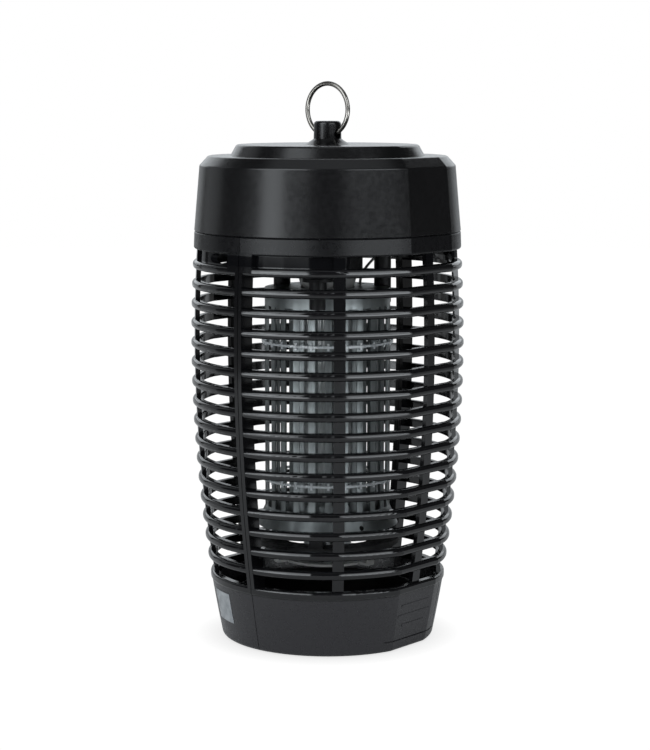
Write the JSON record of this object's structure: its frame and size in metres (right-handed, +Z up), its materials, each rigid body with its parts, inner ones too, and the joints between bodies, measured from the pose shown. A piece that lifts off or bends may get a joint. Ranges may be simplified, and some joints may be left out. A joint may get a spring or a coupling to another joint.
{
  "type": "electric bug zapper",
  "caption": "Hanging lantern-shaped electric bug zapper: black barrel cage of ribs round a metal grid drum and lamp, stepped cap with steel ring, twist-out tray.",
  "frame": {"origin": "on the lantern's axis, at ground level under the base", "axes": "+Z up along the lantern's axis, the front flat faces -Y, the two half shells meet in the plane y = 0"},
  "size_m": [0.2677, 0.2917, 0.411],
  "materials": {
    "cap_plastic": "satin black moulded ABS with fine texture",
    "cage_plastic": "glossy black moulded ABS ribs, satin on the base wall",
    "tray_plastic": "satin black",
    "inner_plastic": "satin black",
    "ring_steel": "polished steel wire",
    "screw_steel": "zinc-plated",
    "grid_metal": "bright sheet",
    "clear_plastic": "clear moulded plastic",
    "lamp_glass": "phosphor-coated tube",
    "pale_plastic": "pale grey",
    "thread_metal": "rolled thread",
    "board_green": "circuit laminate",
    "ferrite": "sintered ferrite",
    "copper_wire": "enamelled copper winding",
    "can_aluminium": "sleeved can",
    "wire_sleeve": "pale silicone sleeve",
    "cord_rubber": "matt black sheath",
    "plug_plastic": "moulded plug",
    "pin_brass": "nickel-bright pins",
    "label_foil": "plain silver foil, unprinted"
  },
  "bodies": {
    "housing": {"upper_cap": "cap_plastic", "front_half_shell": "cage_plastic", "rear_half_shell": "cage_plastic", "mid_plate": "inner_plastic", "grid_posts": "inner_plastic", "lower_frame": "inner_plastic", "grid_feet": "inner_plastic", "lamp_socket": "inner_plastic", "cap_screws": "screw_steel", "shell_screws": "screw_steel", "post_screws": "screw_steel", "outer_grid": "grid_metal", "inner_grid": "grid_metal", "comb_ring_upper": "clear_plastic", "comb_ring_lower": "clear_plastic", "lamp_tubes": "lamp_glass", "lamp_cup": "pale_plastic", "lamp_ring": "pale_plastic", "lamp_screw_shell": "thread_metal", "circuit_board": "board_green", "transformer_core": "ferrite", "transformer_coil": "copper_wire", "capacitors": "can_aluminium", "terminal_block": "pale_plastic", "fuse_holder": "inner_plastic", "hv_wires": "wire_sleeve", "mains_cord": "cord_rubber", "cord_gland": "cord_rubber", "cord_clamp": "inner_plastic", "cord_tie": "inner_plastic", "mains_plug": "plug_plastic", "plug_pins": "pin_brass", "blank_label": "label_foil"},
    "ring": {"hanging_ring": "ring_steel"},
    "tray": {"collection_tray": "tray_plastic"}
  },
  "joints": [
    {"name": "ring_swing", "type": "hinge", "parent": "housing", "child": "ring", "pos_m": [0, 0, 0.3729], "axis": [0, 1, 0], "range_deg": [-98, 98]},
    {"name": "tray_turn", "type": "hinge", "parent": "housing", "child": "tray", "pos_m": [0, 0, 0], "axis": [0, 0, 1], "range_deg": [0, 35]}
  ]
}
